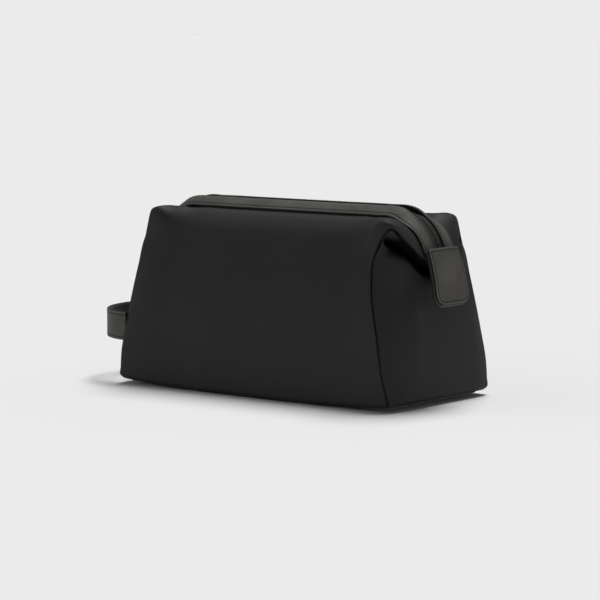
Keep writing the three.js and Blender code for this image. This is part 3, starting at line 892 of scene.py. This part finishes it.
def slab(name, outline, low, high, centre_x):
    points = [(centre_x + x, y, z) for z in (low, high) for x, y in outline]
    return make_mesh(name, points, tube_faces(2, len(outline)))


def follow(path, section):
    """Rings of a section (y, along the path's normal) carried along a path of constant y."""
    ahead = unit(np.gradient(path, axis=0))
    normal = np.stack([-ahead[:, 2], 0 * ahead[:, 0], ahead[:, 0]], axis=1)
    return np.stack([path + np.array([0, y, 0]) + normal * n for y, n in section], axis=1)


plate = slider_outline(slider_long, 6.4, 9.0)
slider_top = slab("slider_top_plate", plate, PLATE_Z, PLATE_Z + PLATE_THICK, SLIDER_X)
slider_foot = slab("slider_foot_plate", plate, slider_low[2], slider_low[2] + FOOT_THICK, SLIDER_X)
arch = [(-4.2, 0.0), (-3.6, 1.5), (-2.2, 2.3), (0, 2.55), (2.2, 2.3), (3.6, 1.5), (4.2, 0.0)]
arch = np.array([(SLIDER_X + x, 0, PLATE_Z - 0.2 + z) for x, z in arch])
slider_bridge = sweep("slider_bridge", follow(arch, [
    (-0.9, -0.35), (0.9, -0.35), (0.9, 0.35), (-0.9, 0.35)]))
neck = [(x * NECK_LONG / 2, y * NECK_WIDE / 2) for x, y in ((-1, -1), (1, -1), (1, 1), (-1, 1))]
slider_neck = slab("slider_neck", neck, slider_low[2] + 0.3, PLATE_Z,
                   SLIDER_X + slider_long / 2 - 2.2)
for piece in (slider_top, slider_foot, slider_bridge, slider_neck):
    bevel = piece.modifiers.new("bevel", "BEVEL")
    bevel.width = 0.35 * MM
    bevel.segments = 3
    bevel.limit_method = "ANGLE"
    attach(piece, "slider")
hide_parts("zip_slider")

puller_low, puller_high = box_mm("zip_puller")
PULLER_LONG = puller_high[0] - puller_low[0]
PULLER_HALF = 2.1
WIRE = 0.45

eye = rounded_outline(PULLER_LONG / 2 - WIRE, PULLER_HALF, 1.0, 4)
eye_middle = (puller_low[0] + puller_high[0]) / 2
eye = np.array([(eye_middle + x, y, PULLER_Z) for x, y in eye])
eye_ahead = unit(np.roll(eye, -1, axis=0) - np.roll(eye, 1, axis=0))
eye_rings = wire_rings(eye, eye_ahead, WIRE, 10)[:, ::-1]
puller = make_mesh("puller_eye", eye_rings.reshape(-1, 3),
                   tube_faces(len(eye), 10, caps=(False, False), closed=True))
on_body(puller, "puller", "zip_metal", "zip_puller")

pull_low, pull_high = box_mm("leather_pull")
pull_middle = (pull_low + pull_high) / 2
pull_half = (pull_high - pull_low) / 2
PULL_LIFT = 0.8                   # it lies on the trims, clear of the tapes as the mouth opens
PULL_INSET = 0.9                  # from its edge to its stitches


def pull_place(a, b, h):
    return np.array([pull_middle[0] + a, b, pull_low[2] + PULL_LIFT + h])


pull_shape = rounded_outline(pull_half[0], pull_half[1] - 0.25, 1.3, 6)
pull = shaped_plate("pull_strip", pull_shape, 2 * pull_half[2], 0.5, pull_place,
                    (0.4, 0.7, 0.95, 1.2))
on_body(pull, "puller", "trim_leather", "leather_pull")
pull_line = rounded_outline(pull_half[0] - PULL_INSET, pull_half[1] - PULL_INSET, 0.6, 6)
pull_line = np.array([pull_place(a, b, 2 * pull_half[2]) for a, b in pull_line])
pull_up = np.tile([0.0, 0.0, 1.0], (len(pull_line), 1))
pull_stitches = stitch_row("pull_stitches", pull_line, pull_up, pitch=1.9, long=1.3, wide=0.34)
on_body(pull_stitches, "puller", "trim_leather")

# ---- materials


class Surface:
    """A Principled material built up by small named steps; all of its patterns are in metres."""

    def __init__(self, name, roughness, metallic=0.0, specular=0.5, sheen=0.0, sheen_rough=0.5):
        self.material = bpy.data.materials.new(name)
        self.material.use_nodes = True
        self.nodes = self.material.node_tree.nodes
        self.links = self.material.node_tree.links
        self.shader = self.nodes["Principled BSDF"]
        for key, value in (("Roughness", roughness), ("Metallic", metallic),
                           ("Specular IOR Level", specular), ("Sheen Weight", sheen),
                           ("Sheen Roughness", sheen_rough)):
            self.shader.inputs[key].default_value = value
        self.place = self.nodes.new("ShaderNodeTexCoord").outputs["Object"]
        self.bumps = None

    def put(self, value, socket):
        if isinstance(value, bpy.types.NodeSocket):
            self.links.new(value, socket)
        else:
            socket.default_value = value

    def add(self, kind, inputs, **settings):
        node = self.nodes.new(kind)
        for key, value in settings.items():
            setattr(node, key, value)
        for key, value in inputs.items():
            self.put(value, node.inputs[key])
        return node

    def scaled(self, x, y, z):
        return self.add("ShaderNodeMapping", {"Vector": self.place, "Scale": (x, y, z)}).outputs[0]

    def noise(self, scale, detail=3.0, rough=0.55, vector=None):
        inputs = {"Vector": vector or self.place, "Scale": scale, "Detail": detail,
                  "Roughness": rough}
        return self.add("ShaderNodeTexNoise", inputs).outputs["Fac"]

    def cells(self, scale, feature, vector=None):
        inputs = {"Vector": vector or self.place, "Scale": scale}
        return self.add("ShaderNodeTexVoronoi", inputs, feature=feature).outputs["Distance"]

    def waves(self, bands, scale, vector=None, **inputs):
        inputs.update({"Vector": vector or self.place, "Scale": scale})
        return self.add("ShaderNodeTexWave", inputs, bands_direction=bands).outputs["Fac"]

    def number(self, name):
        return self.add("ShaderNodeAttribute", {}, attribute_name=name).outputs["Fac"]

    def spread(self, value, low, high, to_low=0.0, to_high=1.0):
        inputs = {"Value": value, "From Min": low, "From Max": high,
                  "To Min": to_low, "To Max": to_high}
        return self.add("ShaderNodeMapRange", inputs, interpolation_type="SMOOTHSTEP").outputs[0]

    def math(self, operation, a, b=0.0):
        return self.add("ShaderNodeMath", {0: a, 1: b}, operation=operation).outputs[0]

    def mix(self, share, a, b):
        """Colour a where share is 0, b where it is 1."""
        return self.add("ShaderNodeMix", {0: share, 6: a, 7: b}, data_type="RGBA").outputs[2]

    def bump(self, height, depth_mm):
        inputs = {"Height": height, "Distance": depth_mm * MM, "Strength": 1.0}
        if self.bumps:
            inputs["Normal"] = self.bumps
        self.bumps = self.add("ShaderNodeBump", inputs).outputs[0]

    def done(self, colour, roughness=None):
        self.put(colour, self.shader.inputs["Base Color"])
        if roughness is not None:
            self.links.new(roughness, self.shader.inputs["Roughness"])
        if self.bumps:
            self.links.new(self.bumps, self.shader.inputs["Normal"])
        return self.material


def grey(value, warm=1.0, cool=1.0):
    return (value * warm, value, value * cool, 1.0)


def coated_fabric():
    """Soft-touch coated cloth: near black, matt, a fine pebble and a faint uneven bloom, with
    painted shade in its seams and in the tuck under each zip end.
    """
    s = Surface("coated_fabric", 0.6, specular=0.09)
    pebble = s.cells(1500, "SMOOTH_F1")
    fine = s.noise(2600, 2.0)
    broad = s.noise(14, 4.0, 0.6)
    wave = s.noise(55, 2.0, 0.5)
    s.bump(wave, 0.10)
    s.bump(pebble, 0.035)
    s.bump(fine, 0.02)
    bloom = s.spread(broad, 0.3, 0.7)
    colour = s.mix(bloom, grey(0.0255, 0.96, 0.99), grey(0.0288, 0.97, 0.99))
    seam = s.number("seam")
    # painted shade: the cloth darkens, to near black within about a millimetre of each seam, where
    # the seam's groove is shaded
    colour = s.mix(s.spread(seam, 2.6, 1.3, 0, 0.35), colour, grey(0.022))
    colour = s.mix(s.spread(seam, 1.1, 0.6, 0, 0.9), colour, grey(0.003))
    # painted shade: near black over the tuck under each zip end
    colour = s.mix(s.number("fold"), colour, grey(0.002))
    rough = s.spread(s.math("ADD", broad, s.math("MULTIPLY", fine, 0.3)), 0.35, 0.95, 0.50, 0.60)
    return s.done(colour, rough)


def nubuck(name, tone, edge_dark=0.45, worn=0.8):
    """Brushed grey leather: grain, cloudy tone, pale worn shoulders and a dark painted edge."""
    s = Surface(name, 0.62, specular=0.22, sheen=0.05, sheen_rough=0.45)
    grain = s.cells(1150, "SMOOTH_F1")
    creases = s.cells(420, "DISTANCE_TO_EDGE", s.scaled(1, 1.6, 1))
    nap = s.noise(900, 4.0, 0.65)
    cloud = s.noise(38, 4.0, 0.62)
    s.bump(cloud, 0.10)
    s.bump(grain, 0.05)
    s.bump(s.spread(creases, 0.0, 0.12), 0.02)
    s.bump(nap, 0.04)
    dark = grey(tone * 0.74, 1.04, 0.86)
    pale = grey(tone * 1.24, 1.04, 0.86)
    colour = s.mix(s.spread(cloud, 0.32, 0.68), dark, pale)
    colour = s.mix(s.spread(nap, 0.35, 0.7, 0, 0.45), colour, grey(tone * 1.5, 1.04, 0.88))
    edge = s.number("edge")
    rub = s.math("MULTIPLY", s.spread(edge, 1.7, 0.7, 0, worn), s.spread(nap, 0.25, 0.6, 0.5, 1.0))
    colour = s.mix(rub, colour, grey(tone * 2.1, 1.03, 0.92))
    off_seam = s.math("ABSOLUTE", s.math("SUBTRACT", edge, SEAM_INSET))
    channel = s.spread(off_seam, 0.75, 0.25)
    s.bump(channel, -0.22)
    # painted shade: the leather darkens along its stitch channel, on top of the groove's bump
    colour = s.mix(s.math("MULTIPLY", channel, 0.55), colour, grey(tone * 0.35))
    paint = s.spread(edge, edge_dark + 0.12, edge_dark - 0.05)
    colour = s.mix(paint, colour, grey(0.006))
    rough = s.spread(nap, 0.2, 0.8, 0.54, 0.70)
    return s.done(colour, rough)


def thread():
    """Twisted polyester thread."""
    s = Surface("thread", 0.6, specular=0.2)
    ply = s.waves("DIAGONAL", 1400.0, s.scaled(1, 0.6, 1), Distortion=1.5)
    s.bump(ply, 0.06)
    colour = s.mix(s.spread(ply, 0.2, 0.8), grey(0.003), grey(0.008))
    return s.done(colour)


def woven_tape():
    """Zip tape: a close herringbone of fine yarns, black."""
    s = Surface("woven_tape", 0.72, specular=0.2, sheen=0.03)
    along, across = s.number("along"), s.number("across")
    ribs = s.math("SINE", s.math("MULTIPLY", across, 2 * math.pi / 0.62))
    turn = s.math("MULTIPLY", s.math("SIGN", ribs), 0.9)
    yarns = s.math("SINE", s.math("ADD", s.math("MULTIPLY", along, 2 * math.pi / 0.55), turn))
    weave = s.math("ADD", s.math("MULTIPLY", yarns, 0.3), s.math("MULTIPLY", ribs, 0.25))
    s.bump(weave, 0.09)
    s.bump(s.noise(1800, 3.0), 0.03)
    colour = s.mix(s.spread(weave, -0.4, 0.5), grey(0.008), grey(0.022))
    return s.done(colour)


def coil_nylon():
    s = Surface("coil_nylon", 0.38, specular=0.5)
    s.bump(s.noise(1500, 2.0), 0.015)
    return s.done(s.mix(s.spread(s.noise(300, 2.0), 0.3, 0.7), grey(0.010), grey(0.018)))


def gunmetal():
    """Cast zinc with a worn dark plating."""
    s = Surface("gunmetal", 0.34, metallic=1.0)
    scratches = s.noise(700, 3.0, 0.6, vector=s.scaled(0.25, 1, 1))
    s.bump(scratches, 0.012)
    s.bump(s.noise(220, 2.0), 0.02)
    colour = s.mix(s.spread(scratches, 0.4, 0.75), grey(0.055, 1.0, 1.04), grey(0.16, 1.0, 1.02))
    return s.done(colour, s.spread(scratches, 0.3, 0.8, 0.28, 0.46))


def woven_lining():
    """Plain-weave polyester lining."""
    s = Surface("woven_lining", 0.6, specular=0.4, sheen=0.2)
    warp, weft, fill = (s.waves(bands, 520.0) for bands in "XZY")
    weave = s.math("MULTIPLY", s.math("ADD", warp, fill), weft)
    s.bump(weave, 0.05)
    s.bump(s.noise(60, 3.0), 0.25)
    colour = s.mix(s.spread(weave, 0.1, 1.2), grey(0.035, 1.0, 1.03), grey(0.062, 1.0, 1.03))
    return s.done(colour)


def grey_board():
    """Pressed fibre board inside the base."""
    s = Surface("grey_board", 0.85, specular=0.3)
    fibres = s.noise(700, 5.0, 0.7, vector=s.scaled(0.3, 1, 1))
    s.bump(fibres, 0.08)
    return s.done(s.mix(s.spread(fibres, 0.3, 0.7), grey(0.10), grey(0.17, 1.0, 0.95)))


SKIN_CLOTH, LEATHER, METAL = coated_fabric(), nubuck("nubuck", 0.060), gunmetal()
TRIM_LEATHER = nubuck("trim_nubuck", 0.062, edge_dark=0.9, worn=0.2)
# The first word found in a piece's name gives its material; the other pieces are body cloth.
FINISHES = (
    ("lining", woven_lining()), ("stitches", thread()), ("coil", coil_nylon()),
    ("tape", woven_tape()), ("strap", nubuck("strap_nubuck", 0.055)), ("trim", TRIM_LEATHER),
    ("tab", LEATHER), ("pull_strip", LEATHER), ("slider", METAL), ("puller", METAL),
    ("zip_stop", METAL), ("board", grey_board()),
)

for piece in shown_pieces():
    finishes = [material for word, material in FINISHES if word in piece.name]
    piece.data.materials.clear()
    piece.data.materials.append((finishes + [SKIN_CLOTH])[0])

# ---- floor, light and camera

FLOOR_TONE = 0.845
HORIZON, ZENITH = 0.83, 0.10      # strength of the sky, between these heights of a unit direction
HORIZON_END, ZENITH_START = 0.10, 0.30

bpy.ops.mesh.primitive_plane_add(size=120, location=(0, 0, 0))
floor = bpy.context.object
floor.name = "floor"
floor.data.materials.append(Surface("pale_floor", 0.9, specular=0.0).done(grey(FLOOR_TONE)))

bpy.context.scene.view_settings.view_transform = "Standard"
world = bpy.data.worlds.new("studio")
bpy.context.scene.world = world
world.use_nodes = True
sky_nodes, sky_links = world.node_tree.nodes, world.node_tree.links
direction = sky_nodes.new("ShaderNodeTexCoord")
height = sky_nodes.new("ShaderNodeSeparateXYZ")
fade = sky_nodes.new("ShaderNodeMapRange")
fade.interpolation_type = "SMOOTHSTEP"
for socket, value in (("From Min", HORIZON_END), ("From Max", ZENITH_START),
                      ("To Min", HORIZON), ("To Max", ZENITH)):
    fade.inputs[socket].default_value = value
sky_links.new(direction.outputs["Generated"], height.inputs[0])
sky_links.new(height.outputs["Z"], fade.inputs["Value"])
sky_links.new(fade.outputs[0], sky_nodes["Background"].inputs["Strength"])
sky_nodes["Background"].inputs["Color"].default_value = (1, 1, 1, 1)


def direction_to(azimuth, height):
    """Unit direction from its azimuth, 0 on the -Y side, and its height, both in degrees."""
    a, h = math.radians(azimuth), math.radians(height)
    return Vector((math.sin(a) * math.cos(h), -math.cos(a) * math.cos(h), math.sin(h)))


def soft_sun(name, strength, spread, azimuth, height):
    light = bpy.data.lights.new(name, "SUN")
    light.energy = strength
    light.angle = math.radians(spread)
    turn = direction_to(azimuth, height).to_track_quat("Z", "Y")
    new_object(name, light).rotation_euler = turn.to_euler()


soft_sun("back_light", 2.76, 30, 197, 68)
soft_sun("side_fill", 0.34, 70, -52, 22)

CAMERA_AZIMUTH, CAMERA_PITCH = 38.44, 6.15
CAMERA_AWAY = 1.9068
TARGET = Vector((0, 0, 0.07))
back = direction_to(CAMERA_AZIMUTH, CAMERA_PITCH)
camera = new_object("camera", bpy.data.cameras.new("camera"))
camera.location = TARGET + back * CAMERA_AWAY
camera.rotation_euler = back.to_track_quat("Z", "Y").to_euler()
camera.data.sensor_width = 36
camera.data.lens = 150.8
camera.data.shift_x = -0.0015
camera.data.shift_y = -0.0050
camera.data.clip_start = 0.05
camera.data.clip_end = 400
bpy.context.scene.camera = camera
